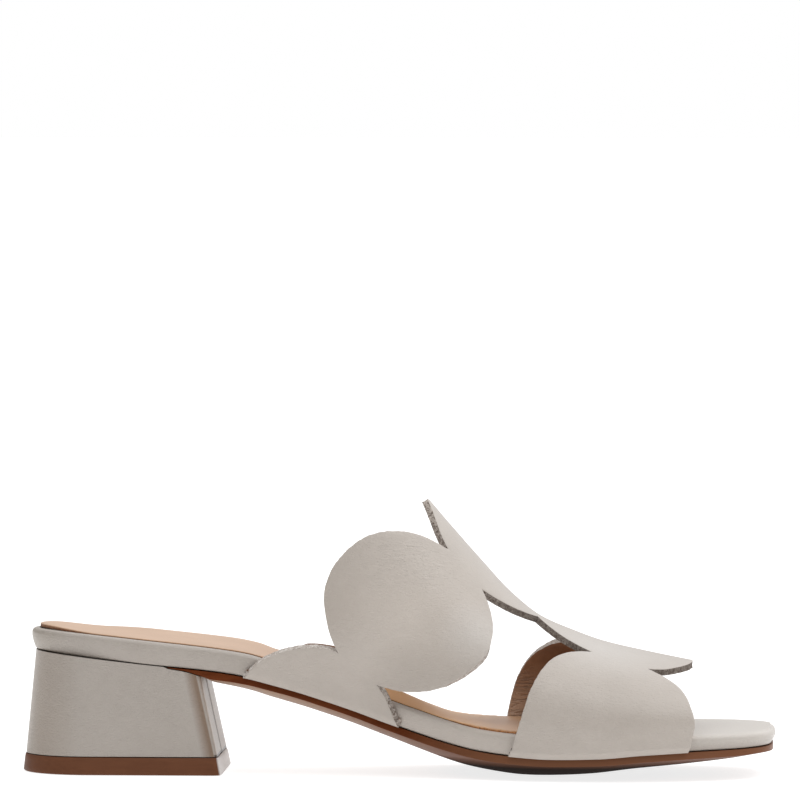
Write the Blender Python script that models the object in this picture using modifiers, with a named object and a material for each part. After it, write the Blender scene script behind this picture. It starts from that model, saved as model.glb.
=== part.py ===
"""Left slide sandal on a low block heel, with an upper of five linked discs a side.

The model is built in millimetres from one set of last measurements and scaled to metres.
+X runs from the heel to the toe, +Y to the outer (lateral) side and +Z up.
A "station" is the distance from the back of the footbed.
"""
import math

import bmesh
import bpy
import numpy as np
from mathutils import Vector
from mathutils.geometry import delaunay_2d_cdt

MM = 0.001

# Driving sizes, in millimetres.
LENGTH = 248.0            # footbed, back of heel to tip of toe
FIRST_STATION = 0.25      # the solid starts and ends a little inside the plan's tips
TIP_FLAT = 0.15
CLEARANCE = 0.3           # gap kept between pieces that touch
LEATHER = 2.1             # upper leather with its lining
SOCK_THICKNESS = 1.2
SOCK_INSET = 2.6
SOCK_RECESS = 1.3         # the sock lies this deep in the padded rim
SOCK_FRONT = 196.0        # the sock ends under the ball discs
SOCK_ROUND = 0.3          # rounded edge of the sock
SOLE_INSET = 0.8
SOLE_BACK = 47.0          # the sole runs in over the front of the heel seat
SOLE_ROUND = 0.3          # rounded upper edge of the sole
RIM_RADIUS = 1.7          # rounded upper rim of the wrapped footbed
UPPER_DROP = 0.5          # the upper reaches this far below the footbed
PIECE_HEIGHT = 5.8        # top piece under the heel
TOE_DOME = 0.9            # how much the wrapped top rises along the middle of the toe
TOE_DOME_START = 212.0    # where that rise starts, and how far it takes to reach full height
TOE_DOME_RUN = 24.0
SECTION_KNEE = 0.22       # share of each half section that lies below its widest point
SPREAD = 80.0             # length that one half section is laid out to
HEEL_OVAL = 0.92          # length of the oval at the back, as a share of the half width

# Spacing of the meshes.
BOARD_COUNT = 34          # sections along the footbed and the sole
SOCK_COUNT = 24
HEEL_ARC = 20             # steps round the back of the heel and round each front corner
HEEL_CORNER = 4
EDGE_STEP = 2.6           # along the cut edge of the upper
SKIN_STEP = 5.4           # over the faces of the upper
FAIRING_PASSES = 16       # evens out the curves of the discs
MERGE_DISTANCE = 1e-6
SHARP_ANGLE = 35.0        # degrees between faces that meet at a visible edge

# Cutters.
RECESS_OVERCUT = 4.0      # the recess cutter reaches this far above the footbed
CUTTER_COLUMN = 6.5       # spacing across the heel's cutters
CUTTER_TOP = 70.0

# Plan of the footbed: inner edge and outer edge at each station.
OUTLINE = {
    "station": (0, 0.7, 2, 5, 12, 25, 40, 60, 80, 100, 120, 140, 160, 175,
                190, 205, 215, 223, 230, 235, 240, 244, 246.5, 247.6, LENGTH),
    "inner": (0, -5.4, -9.0, -13.9, -20.2, -25.2, -26.6, -25.8, -23.8, -23, -26.5, -33.5, -40, -43,
              -44, -43.4, -41.8, -39.8, -37.4, -35.1, -31.4, -26.4, -20.8, -15.4, -5.5),
    "outer": (0, 5.4, 9.0, 13.8, 19.9, 24.8, 26.6, 27, 26, 26.5, 29.5, 33.5, 37.5, 39.5,
              39.5, 38.2, 36.4, 34.6, 32.4, 30.2, 26.6, 21.6, 15, 8.8, -3.5),
}

# Side view of the footbed along its inner edge: height of its underside, thickness of the
# wrapped board, and how far the outer edge runs ahead of the inner edge per mm of width.
SEAT = {
    "station": (0, 10, 39, 64, 74, 80, 90, 100, 110, 120,
                130, 140, 150, 160, 175, 190, 205, 220, 235, 250),
    "under": (40.9, 40.1, 37, 34.3, 32.5, 30.9, 28.1, 24.9, 21.6, 18.1,
              14.9, 12, 9.7, 8.4, 7.6, 7.9, 9.1, 9.9, 10.4, 10.8),
    "board": (6.9, 7.3, 7.7, 7.5, 7.6, 7.5, 7.4, 7.3, 7.4, 7.6,
              7.6, 7.4, 7.2, 7.2, 7.1, 6.7, 5.9, 5.1, 4.8, 4.6),
    "twist": (0.10, 0.12, -0.06, -0.08, -0.04, 0, 0, 0, 0.02, 0.05,
              0.12, 0.17, 0.18, 0.16, 0.12, 0.08, 0.08, 0.08, 0.08, 0.08),
}

# Sole: thickness of its edge and how much deeper it is along the middle.
SOLE = {
    "station": (SOLE_BACK, 48.5, 53, 58, 62, 70, 90, 110, 130, 150, 165, 180, 195, 215, 232, LENGTH),
    "edge": (0.2, 0.3, 0.6, 1.5, 2.25, 2.1, 1.9, 2.0, 2.2, 2.3, 2.3, 2.3, 2.3, 2.2, 2.0, 1.6),
    "crown": (0, 0, 0.3, 1.4, 2.6, 3.3, 4.0, 4.0, 3.9, 4.8, 5.7, 5.5, 4.8, 4.0, 2.7, 0.4),
}

# Last over the foot: ridge height and offset, height of the widest point above the
# footbed's underside, and reach of the widest point to the inner and outer side.
LAST = {
    "station": (60, 80, 90, 100, 110, 120, 130, 140, 150, 160, 170, 180, 190, 205, 228),
    "ridge": (136, 128, 124, 118.5, 111.5, 103, 93.1, 81.6, 70.2, 59.4, 51.5, 47.1, 43.5, 40, 35.5),
    "offset": (0, 0, 0, 0.3, 0.5, 0.8, 1, 1.5, 2, 2.3, 2.7, 3, 2.8, 2.6, 2),
    "spring": (24, 24, 24, 24, 23, 22, 20, 18, 15.5, 13, 11.5, 10, 9.5, 9, 8),
    "inner": (-29, -30, -31.5, -33, -34, -35, -36.3, -38.5, -41, -43.5, -45.5, -46.5, -47.2, -47, -41.5),
    "outer": (29, 30, 31.5, 32.5, 34, 35.5, 37.5, 39, 40.5, 41.5, 42.5, 43, 43, 42, 35),
}

# Discs of the upper, laid out flat: station and distance down the side from the ridge.
# Middle discs go from their rear tip to their front tip and are the same on both sides.
MIDDLE_DISCS = {
    "instep": ((132, 0), (134.5, 9.5), (139, 19.5), (147, 24), (158, 17.8), (166.5, 9), (170.3, 0)),
    "toe": ((167.3, 0), (171, 7.4), (179, 15.3), (188, 19), (201, 23.3), (207, 23.4), (213, 20.4), (219, 10.5),
            (220.4, 0)),
}
# Side discs are closed outlines; the outer ones sit a little behind the inner ones.
INNER_DISCS = {
    "side": ((99.4, 57.5), (101.6, 51), (111.4, 40.6), (124.4, 31), (137.4, 22.2), (145.4, 18), (152.4, 23.6),
             (155.5, 34.4), (152.2, 48), (138.2, 63.2), (122.5, 70.2), (106.5, 68.8)),
    "ball": ((161.3, 85), (162.6, 74), (164.8, 63.2), (169.8, 44.2), (176.7, 28.8), (188, 18.4), (196.5, 18.2),
             (209.4, 25.8), (217.5, 36.4), (221.6, 54), (221.8, 65), (216.2, 85)),
    "waist": ((70.4, 85), (74.4, 78.1), (80, 73.8), (89, 69.8), (99.5, 67), (110.5, 67), (117, 70.7),
              (119.9, 73.4), (122.3, 77.6), (125.2, 85)),
}
OUTER_DISCS = {
    "side": ((98.4, 62), (100.4, 55.4), (109.4, 46), (121.5, 38.6), (132.4, 31), (141, 21.6), (148.4, 25.4),
             (150.8, 37.2), (147.6, 51), (134.2, 66), (119.5, 73), (104.8, 71.8)),
    "ball": ((157.6, 85), (157, 68.5), (161, 52), (169.4, 35), (179, 22), (192, 18.6), (204, 29.6), (211.4, 47),
             (212.8, 66), (209.8, 85)),
    "waist": ((65, 85), (73.6, 79.2), (83, 73.9), (92.7, 70.4), (105.5, 70), (113.4, 76), (121, 85)),
}

# Heel block and the piece under it: height, back, half width, breast, corner radius, and how
# far the breast's inner end stands ahead of its outer end.
HEEL_ROWS = ((PIECE_HEIGHT + CLEARANCE, -1.8, 24.0, 63.4, 2.4, 0.3), (50.0, 2.5, 25.8, 53.9, 2.4, 0.7))
PIECE_ROWS = ((0.0, -2.6, 24.9, 64.9, 3.0, 0.3), (0.5, -2.7, 25.0, 65.1, 3.0, 0.3),
              (PIECE_HEIGHT, -2.1, 24.4, 64.0, 3.0, 0.3))

COLOURS = {
    "leather": ((0.60, 0.55, 0.50), 0.5),
    "sock": ((0.72, 0.50, 0.32), 0.6),
    "rubber": ((0.20, 0.09, 0.05), 0.45),
}


# ---------------------------------------------------------------- the shoe's own form

def track(table, column):
    """A smooth curve through one column of a table, with no overshoot between rows."""
    xs, ys = np.array(table["station"], float), np.array(table[column], float)
    steps = np.diff(xs)
    slopes = np.diff(ys) / steps
    tangents = np.concatenate((slopes[:1], np.zeros(len(xs) - 2), slopes[-1:]))
    for i in range(1, len(slopes)):
        before, after = slopes[i - 1], slopes[i]
        if before * after > 0:
            near, far = 2 * steps[i] + steps[i - 1], steps[i] + 2 * steps[i - 1]
            tangents[i] = (near + far) / (near / before + far / after)

    def value(x):
        x = np.clip(x, xs[0], xs[-1])
        i = np.clip(np.searchsorted(xs, x, "right") - 1, 0, len(steps) - 1)
        h = steps[i]
        t = (x - xs[i]) / h
        return ((2 * t**3 - 3 * t**2 + 1) * ys[i] + (t**3 - 2 * t**2 + t) * h * tangents[i]
                + (3 * t**2 - 2 * t**3) * ys[i + 1] + (t**3 - t**2) * h * tangents[i + 1])

    return value


inner_edge, outer_edge = track(OUTLINE, "inner"), track(OUTLINE, "outer")
seat_under, board_thickness, seat_twist = (track(SEAT, column) for column in ("under", "board", "twist"))
sole_edge, sole_crown = track(SOLE, "edge"), track(SOLE, "crown")
ridge_height, ridge_offset = track(LAST, "ridge"), track(LAST, "offset")
spring_height = track(LAST, "spring")
inner_reach, outer_reach = track(LAST, "inner"), track(LAST, "outer")


def ease(t):
    t = np.clip(t, 0.0, 1.0)
    return t * t * (3 - 2 * t)


def off_middle(x, y):
    """Square of the distance from the plan's middle line, as a share of the half width."""
    middle, half = (inner_edge(x) + outer_edge(x)) / 2, (outer_edge(x) - inner_edge(x)) / 2
    return np.clip(np.abs(y - middle) / np.maximum(half, 1.0), 0, 1)**2


def footbed_under(x, y):
    """Height of the footbed's underside, twisted a little across its width."""
    return seat_under(x + seat_twist(x) * (y - inner_edge(x)))


def footbed_top(x, y):
    dome = TOE_DOME * ease((x - TOE_DOME_START) / TOE_DOME_RUN)
    return footbed_under(x, y) + board_thickness(x) + dome * (1 - off_middle(x, y))


def recess_floor(x, y):
    return footbed_top(x, y) - SOCK_RECESS


def sole_under(x, y):
    """Height of the sole's underside: a shallow crown, cut flat on the ground."""
    depth = sole_edge(x) + sole_crown(x) * (1 - off_middle(x, y))
    return np.maximum(0.0, footbed_under(x, y) - CLEARANCE - depth)


def last_face(x, laid):
    """Outer face of the upper from a station and the laid-out distance from the ridge."""
    inner = laid <= 0
    wall = CLEARANCE + LEATHER
    base = np.where(inner, inner_edge(x) - wall, outer_edge(x) + wall)
    reach = np.where(inner, inner_reach(x), outer_reach(x))
    foot = footbed_under(x, base) - UPPER_DROP
    widest = foot + UPPER_DROP + spring_height(x)
    rise = 1 - np.abs(laid) / SPREAD
    share = rise / SECTION_KNEE
    angle = math.pi / 2 * (rise - SECTION_KNEE) / (1 - SECTION_KNEE)
    ridge = ridge_offset(x)
    low = share < 1
    side = np.where(low, base + (reach - base) * ease(share), ridge + (reach - ridge) * np.cos(angle))
    height = np.where(low, foot + (widest - foot) * share, widest + (ridge_height(x) - widest) * np.sin(angle))
    return np.stack((x, side, height), -1)


# ---------------------------------------------------------------- objects

def material(name):
    """A plain Principled material of one of the shoe's finishes."""
    colour, roughness = COLOURS[name]
    result = bpy.data.materials.new(name)
    result.use_nodes = True
    shader = result.node_tree.nodes["Principled BSDF"]
    shader.inputs["Base Color"].default_value = (*colour, 1)
    shader.inputs["Roughness"].default_value = roughness
    return result


def add_object(name, bm, group, finish=None):
    """Scale a bmesh from millimetres, make it an object and link it to a collection."""
    bmesh.ops.scale(bm, vec=(MM, MM, MM), verts=bm.verts)
    bmesh.ops.recalc_face_normals(bm, faces=bm.faces)
    mesh = bpy.data.meshes.new(name)
    bm.to_mesh(mesh)
    bm.free()
    obj = bpy.data.objects.new(name, mesh)
    group.objects.link(obj)
    if finish:
        mesh.materials.append(finish)
        mesh.shade_smooth()
        mesh.set_sharp_from_angle(angle=math.radians(SHARP_ANGLE))
    return obj


def as_cutter(obj):
    obj.hide_render = True
    obj.display_type = "WIRE"
    return obj


def cut(obj, cutter):
    """Cut a hidden cutter out of an object."""
    modifier = obj.modifiers.new(cutter.name, "BOOLEAN")
    modifier.operation = "DIFFERENCE"
    modifier.object = cutter
    modifier.solver = "EXACT"


def loft(rings):
    """Close a loft of equal rings with a flat cap at each end."""
    bm = bmesh.new()
    rows = [[bm.verts.new(point) for point in ring] for ring in rings]
    count = len(rows[0])
    for row, following in zip(rows, rows[1:]):
        for i in range(count):
            j = (i + 1) % count
            bm.faces.new((row[i], row[j], following[j], following[i]))
    bm.faces.new(reversed(rows[0]))
    bm.faces.new(rows[-1])
    return bm


# ---------------------------------------------------------------- footbed, sock and sole

def end_spaced(start, stop, count):
    """Stations that crowd towards both ends, where the outline turns fastest."""
    middle, half = (start + stop) / 2, (stop - start) / 2
    return [middle - half * math.cos(math.pi * i / count) for i in range(count + 1)]


def plate_ring(x, inset, under, top, rim, shift=0.0):
    """Section of a plate: across its underside, up the side, and back over its rounded top."""
    low, high = inner_edge(x) + inset, outer_edge(x) - inset
    half, middle = (high - low) / 2, (high + low) / 2
    radius = min(rim, half / 2)
    turns = [math.pi / 6 * step for step in range(4)]
    rounding = [(half - radius * (1 - math.cos(turn)), radius * (1 - math.sin(turn))) for turn in turns]
    columns = [middle + half * c / 4 for c in range(-4, 5)]
    section = [(y, under(x, y)) for y in columns]
    section += [(middle + reach, top(x, middle + reach) - drop) for reach, drop in rounding]
    columns = [middle + (half - radius) * c / 4 for c in (3, 2, 1, 0, -1, -2, -3)]
    section += [(y, top(x, y)) for y in columns]
    section += [(middle - reach, top(x, middle - reach) - drop) for reach, drop in reversed(rounding)]
    return [(x + shift, y, z) for y, z in section]


def plate(stations, inset, under, top, rim, spread=0.0):
    """A plate over the footbed's plan; its ends can be moved out by a gap."""
    shifts = [-spread] + [0.0] * (len(stations) - 2) + [spread]
    return loft([plate_ring(x, inset, under, top, rim, shift) for x, shift in zip(stations, shifts)])


def sock_stations():
    """Stations of the sock, crowded at the back of the heel."""
    start = SOCK_INSET + CLEARANCE
    run = SOCK_FRONT - start
    return [start + run * (1 - math.cos(math.pi / 2 * i / SOCK_COUNT)) for i in range(SOCK_COUNT + 1)]


def build_footbed(group, cutters, finish):
    """Wrapped board with a rounded rim and a recess for the sock."""
    def above_recess(x, y):
        return footbed_top(x, y) + RECESS_OVERCUT

    stations = end_spaced(FIRST_STATION, LENGTH - TIP_FLAT, BOARD_COUNT)
    footbed = add_object("footbed", plate(stations, 0.0, footbed_under, footbed_top, RIM_RADIUS), group, finish)
    recess = plate(sock_stations(), SOCK_INSET - CLEARANCE, recess_floor, above_recess, SOCK_ROUND, CLEARANCE)
    cut(footbed, as_cutter(add_object("recess_cutter", recess, cutters)))
    return footbed


def build_sock(group, finish):
    """Leather sock in the footbed's recess, from the back of the heel to under the ball discs."""
    def under(x, y):
        return recess_floor(x, y) + CLEARANCE

    def top(x, y):
        return under(x, y) + SOCK_THICKNESS

    return add_object("sock", plate(sock_stations(), SOCK_INSET, under, top, SOCK_ROUND), group, finish)


def build_outsole(group, finish):
    def top(x, y):
        return footbed_under(x, y) - CLEARANCE

    stations = end_spaced(SOLE_BACK, LENGTH - SOLE_INSET - TIP_FLAT, BOARD_COUNT)
    return add_object("outsole", plate(stations, SOLE_INSET, sole_under, top, SOLE_ROUND), group, finish)


# ---------------------------------------------------------------- heel

def heel_ring(height, back, half_width, breast, corner, skew):
    """Plan of the heel at one height: half an oval at the back, then a flat breast."""
    length = half_width * HEEL_OVAL
    ring = []
    for step in range(HEEL_ARC + 1):
        angle = math.pi / 2 + math.pi * step / HEEL_ARC
        ring.append((back + length + length * math.cos(angle), half_width * math.sin(angle)))
    for side in (-1, 1):
        for step in range(HEEL_CORNER + 1):
            angle = math.pi / 2 / HEEL_CORNER * (step if side < 0 else HEEL_CORNER - step)
            ring.append((breast - corner + corner * math.sin(angle),
                         side * (half_width - corner + corner * math.cos(angle))))
    start = back + length
    points = []
    for x, y in ring:
        forward = min(max((x - start) / (breast - start), 0.0), 1.0)
        points.append((x - skew * forward * y / half_width, y, height))
    return points


def above(stations, under, name, group):
    """A cutter that fills everything over a lower surface."""
    columns = [CUTTER_COLUMN * c for c in range(-6, 7)]
    rings = []
    for x in stations:
        rings.append([(x, y, under(x, y)) for y in columns] + [(x, y, CUTTER_TOP) for y in reversed(columns)])
    return as_cutter(add_object(name, loft(rings), group))


def build_heel(group, cutters, finish):
    """Leather covered block, cut to the footbed and to the tongue of the sole."""
    def below_footbed(x, y):
        return footbed_under(max(x, 0.0), y) - CLEARANCE

    def below_tongue(x, y):
        return sole_under(max(x, SOLE_BACK), y) - CLEARANCE

    heel = add_object("heel", loft([heel_ring(*row) for row in HEEL_ROWS]), group, finish)
    cut(heel, above([6.0 * i - 6 for i in range(14)], below_footbed, "seat_cutter", cutters))
    tongue = [SOLE_BACK - CLEARANCE + 3.0 * i for i in range(9)]
    cut(heel, above(tongue, below_tongue, "tongue_cutter", cutters))
    return heel


# ---------------------------------------------------------------- upper

def resample(loop, step):
    """A closed outline with points an even distance apart."""
    closed = np.vstack((loop, loop[:1]))
    lengths = np.concatenate(([0], np.cumsum(np.linalg.norm(np.diff(closed, axis=0), axis=1))))
    count = max(int(lengths[-1] / step), 8)
    marks = np.arange(count) * lengths[-1] / count
    return np.stack([np.interp(marks, lengths, closed[:, axis]) for axis in range(2)], -1)


def counter_clockwise(loop):
    x, y = loop[:, 0], loop[:, 1]
    area = np.sum(x * np.roll(y, -1) - y * np.roll(x, -1))
    return loop if area > 0 else loop[::-1]


def closed_curve(nodes):
    """Smooth closed curve through nodes."""
    gaps = np.linalg.norm(np.roll(nodes, -1, axis=0) - nodes, axis=1)[:, None]
    tangents = (np.roll(nodes, -1, axis=0) - np.roll(nodes, 1, axis=0)) / (gaps + np.roll(gaps, 1))
    points = []
    for i, gap in enumerate(gaps[:, 0]):
        j = (i + 1) % len(nodes)
        t = np.arange(0, 1, 0.1)[:, None]
        points.append((2 * t**3 - 3 * t**2 + 1) * nodes[i] + (t**3 - 2 * t**2 + t) * gap * tangents[i]
                      + (3 * t**2 - 2 * t**3) * nodes[j] + (t**3 - t**2) * gap * tangents[j])
    curve = resample(np.vstack(points), 1.0)
    for _ in range(FAIRING_PASSES):
        curve = (np.roll(curve, 1, axis=0) + 2 * curve + np.roll(curve, -1, axis=0)) / 4
    return curve


def disc_outlines():
    """Outlines of all discs, laid out flat; the inner side lies at negative distances."""
    outlines = []
    for nodes in MIDDLE_DISCS.values():
        half = np.array(nodes, float)
        outlines.append(closed_curve(np.vstack((half, (half * (1, -1))[-2:0:-1]))))
    for hand, discs in ((-1, INNER_DISCS), (1, OUTER_DISCS)):
        outlines += [closed_curve(np.array(nodes, float) * (1, hand)) for nodes in discs.values()]
    for outline in outlines:
        outline[:, 1] = np.clip(outline[:, 1], -SPREAD, SPREAD)
    return [resample(counter_clockwise(outline), EDGE_STEP) for outline in outlines]


def joined_outline(outlines):
    """One outline round several that overlap."""
    points = [Vector(point) for outline in outlines for point in outline]
    starts = np.cumsum([0] + [len(outline) for outline in outlines])
    faces = [list(range(a, b)) for a, b in zip(starts, starts[1:])]
    found = delaunay_2d_cdt(points, [], faces, 1, MERGE_DISTANCE)
    edges = {(a, b) for face in found[2] for a, b in zip(face, face[1:] + face[:1])}
    following = {a: b for a, b in edges if (b, a) not in edges}
    loops = []
    while following:
        order = [min(following)]
        while order[-1] in following:
            order.append(following.pop(order[-1]))
        loops.append(order[:-1])
    loop = counter_clockwise(np.array([tuple(found[0][i]) for i in max(loops, key=len)]))
    apart = np.linalg.norm(loop - np.roll(loop, 1, axis=0), axis=1)
    return loop[apart > EDGE_STEP / 4]


def inside_loop(points, loop):
    """Which points lie inside a closed outline."""
    x, y = points[:, 0], points[:, 1]
    crossings = np.zeros(len(points), int)
    for (ax, ay), (bx, by) in zip(loop, np.roll(loop, -1, axis=0)):
        if ay != by:
            spans = (ay > y) != (by > y)
            crossings += spans & (x < (bx - ax) * (y - ay) / (by - ay) + ax)
    return crossings % 2 == 1


def laid_out_mesh(loop):
    """Points and triangles that fill the upper's outline evenly, the outline's own first."""
    low, high = loop.min(0), loop.max(0)
    rows = np.arange(low[1], high[1], SKIN_STEP * math.sqrt(3) / 2)
    columns = np.arange(low[0], high[0], SKIN_STEP)
    grid = np.array([(x + SKIN_STEP / 2 * (i % 2), y) for i, y in enumerate(rows) for x in columns])
    grid = grid[inside_loop(grid, loop)]
    away = np.linalg.norm(grid[:, None] - loop[None], axis=-1).min(1)
    points = np.vstack((loop, grid[away > SKIN_STEP * 0.55]))
    order = list(range(len(loop)))
    found = delaunay_2d_cdt([Vector(point) for point in points], [], [order], 1, MERGE_DISTANCE)
    return np.array([tuple(point) for point in found[0]]), found[2]


def build_upper(group, finish):
    """One leather shell over the last, cut to the outline of the linked discs."""
    points, triangles = laid_out_mesh(joined_outline(disc_outlines()))
    sheet = bmesh.new()
    verts = [sheet.verts.new(point) for point in last_face(points[:, 0], points[:, 1])]
    for triangle in triangles:
        sheet.faces.new([verts[i] for i in triangle])
    upper = add_object("upper", sheet, group, finish)
    wall = upper.modifiers.new("wall", "SOLIDIFY")
    wall.thickness = LEATHER * MM
    wall.offset = -1
    wall.use_even_offset = True
    wall.use_quality_normals = True
    return upper


# ---------------------------------------------------------------- the shoe

def centre_on_origin(parts, root):
    """Put the middle of the shoe's footprint at the origin, with the ground at zero."""
    bpy.context.view_layer.update()
    graph = bpy.context.evaluated_depsgraph_get()
    corners = [obj.matrix_world @ Vector(corner)
               for obj in parts for corner in obj.evaluated_get(graph).bound_box]
    middle = [(min(c[axis] for c in corners) + max(c[axis] for c in corners)) / 2 for axis in (0, 1)]
    root.location = (-middle[0], -middle[1], -min(c.z for c in corners))


def main():
    for obj in list(bpy.data.objects):
        bpy.data.objects.remove(obj)
    shoe = bpy.data.collections.new("sandal")
    cutters = bpy.data.collections.new("cutters")
    for group in (shoe, cutters):
        bpy.context.scene.collection.children.link(group)
    leather, sock, rubber = (material(name) for name in ("leather", "sock", "rubber"))
    parts = [
        build_footbed(shoe, cutters, leather),
        build_sock(shoe, sock),
        build_outsole(shoe, rubber),
        build_heel(shoe, cutters, leather),
        add_object("top_piece", loft([heel_ring(*row) for row in PIECE_ROWS]), shoe, rubber),
        build_upper(shoe, leather),
    ]
    root = bpy.data.objects.new("sandal_root", None)
    shoe.objects.link(root)
    for obj in parts + list(cutters.objects):
        obj.parent = root
    centre_on_origin(parts, root)


main()
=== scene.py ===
"""Looks of a left slide sandal: linked leather discs over a wrapped footbed and a low heel.

Shapes are worked out in millimetres in the shoe's own measure. A station runs from the back
of the footbed towards the toe, a side is negative towards the inner ankle, and a height is
above the ground. Over the upper, a laid-out distance runs down from the ridge and is negative
on the inner side.
"""

import math

import bmesh
import bpy
import numpy as np
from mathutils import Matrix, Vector
from mathutils.geometry import delaunay_2d_cdt


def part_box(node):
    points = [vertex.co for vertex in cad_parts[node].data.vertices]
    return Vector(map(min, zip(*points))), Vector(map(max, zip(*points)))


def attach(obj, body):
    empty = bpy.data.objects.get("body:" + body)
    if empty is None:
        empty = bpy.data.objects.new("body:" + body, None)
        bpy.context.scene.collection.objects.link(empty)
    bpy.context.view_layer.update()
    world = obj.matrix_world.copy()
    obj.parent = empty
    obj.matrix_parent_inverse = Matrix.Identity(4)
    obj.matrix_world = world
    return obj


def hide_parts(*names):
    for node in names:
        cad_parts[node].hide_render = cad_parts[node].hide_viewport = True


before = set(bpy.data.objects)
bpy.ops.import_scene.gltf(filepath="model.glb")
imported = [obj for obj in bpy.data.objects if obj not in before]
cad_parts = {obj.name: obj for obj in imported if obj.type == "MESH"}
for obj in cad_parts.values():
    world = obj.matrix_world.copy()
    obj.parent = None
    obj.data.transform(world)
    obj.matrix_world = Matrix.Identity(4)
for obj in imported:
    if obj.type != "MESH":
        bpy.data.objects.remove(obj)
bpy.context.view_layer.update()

MM = 0.001
BODY = "root"

# Driving sizes of the shoe, in millimetres.
LENGTH = 248.0            # footbed, back of heel to tip of toe
FIRST_STATION = 0.25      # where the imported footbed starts
CLEARANCE = 0.3           # gap kept between pieces that touch
LEATHER = 2.1             # wall of the upper
LINING = 0.5              # inner layer of that wall
SOCK_THICKNESS = 1.2
SOCK_INSET = 2.6
SOCK_RECESS = 1.3         # the sock lies this deep in the padded rim
SOCK_FRONT = 196.0
SOLE_INSET = 0.8
SOLE_BACK = 47.0
RIM_RADIUS = 1.7          # rounded upper rim of the wrapped footbed
UPPER_DROP = 0.5          # the upper reaches this far below the footbed
PIECE_HEIGHT = 5.8        # top piece under the heel
SECTION_KNEE = 0.22       # share of each half section that lies below its widest point
TUCK_RADIUS = 2.0         # bend of the lasted edge, in under the footbed
SPREAD = 80.0             # length that one half section is laid out to
NORMAL_STEP = 0.08        # reach over which the outer face's slope is measured

# Plan of the footbed: inner edge and outer edge at each station.
OUTLINE = {
    "station": (0, 0.7, 2, 5, 12, 25, 40, 60, 80, 100, 120, 140, 160, 175,
                190, 205, 215, 223, 230, 235, 240, 244, 246.5, 247.6, LENGTH),
    "inner": (0, -5.4, -9.0, -13.9, -20.2, -25.2, -26.6, -25.8, -23.8, -23, -26.5, -33.5, -40, -43,
              -44, -43.4, -41.8, -39.8, -37.4, -35.1, -31.4, -26.4, -20.8, -15.4, -5.5),
    "outer": (0, 5.4, 9.0, 13.8, 19.9, 24.8, 26.6, 27, 26, 26.5, 29.5, 33.5, 37.5, 39.5,
              39.5, 38.2, 36.4, 34.6, 32.4, 30.2, 26.6, 21.6, 15, 8.8, -3.5),
}

# Side view of the footbed along its inner edge: height of its underside, thickness of the
# wrapped board, and how far the outer edge runs ahead of the inner edge per mm of width.
SEAT = {
    "station": (0, 10, 39, 64, 74, 80, 90, 100, 110, 120,
                130, 140, 150, 160, 175, 190, 205, 220, 235, 250),
    "under": (40.9, 40.1, 37, 34.3, 32.5, 30.9, 28.1, 24.9, 21.6, 18.1,
              14.9, 12, 9.7, 8.4, 7.6, 7.9, 9.1, 9.9, 10.4, 10.8),
    "board": (6.9, 7.3, 7.7, 7.5, 7.6, 7.5, 7.4, 7.3, 7.4, 7.6,
              7.6, 7.4, 7.2, 7.2, 7.1, 6.7, 5.9, 5.1, 4.8, 4.6),
    "twist": (0.10, 0.12, -0.06, -0.08, -0.04, 0, 0, 0, 0.02, 0.05,
              0.12, 0.17, 0.18, 0.16, 0.12, 0.08, 0.08, 0.08, 0.08, 0.08),
}
TOE_DOME = 0.9            # how much the wrapped top rises along the middle of the toe

# Sole: thickness of its edge and how much deeper it is along the middle.
SOLE = {
    "station": (SOLE_BACK, 48.5, 53, 58, 62, 70, 90, 110, 130, 150, 165, 180, 195, 215, 232, LENGTH),
    "edge": (0.2, 0.3, 0.6, 1.5, 2.25, 2.1, 1.9, 2.0, 2.2, 2.3, 2.3, 2.3, 2.3, 2.2, 2.0, 1.6),
    "crown": (0, 0, 0.3, 1.4, 2.6, 3.3, 4.0, 4.0, 3.9, 4.8, 5.7, 5.5, 4.8, 4.0, 2.7, 0.4),
}

# Last over the foot: ridge height and offset, height of the widest point above the
# footbed's underside, and reach of the widest point to the inner and outer side.
LAST = {
    "station": (60, 80, 90, 100, 110, 120, 130, 140, 150, 160, 170, 180, 190, 205, 228),
    "ridge": (136, 128, 124, 118.5, 111.5, 103, 93.1, 81.6, 70.2, 59.4, 51.5, 47.1, 43.5, 40, 35.5),
    "offset": (0, 0, 0, 0.3, 0.5, 0.8, 1, 1.5, 2, 2.3, 2.7, 3, 2.8, 2.6, 2),
    "spring": (24, 24, 24, 24, 23, 22, 20, 18, 15.5, 13, 11.5, 10, 9.5, 9, 8),
    "inner": (-29, -30, -31.5, -33, -34, -35, -36.3, -38.5, -41, -43.5, -45.5, -46.5, -47.2, -47, -41.5),
    "outer": (29, 30, 31.5, 32.5, 34, 35.5, 37.5, 39, 40.5, 41.5, 42.5, 43, 43, 42, 35),
}

# Discs of the upper, laid out flat: station and distance down the side from the ridge.
# Middle discs go from their rear tip to their front tip and are the same on both sides.
MIDDLE_DISCS = {
    "instep": ((132, 0), (134.5, 9.5), (139, 19.5), (147, 24), (158, 17.8), (166.5, 9), (170.3, 0)),
    "toe": ((167.3, 0), (171, 7.4), (179, 15.3), (188, 19), (201, 23.3), (207, 23.4), (213, 20.4),
            (219, 10.5), (220.4, 0)),
}
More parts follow.
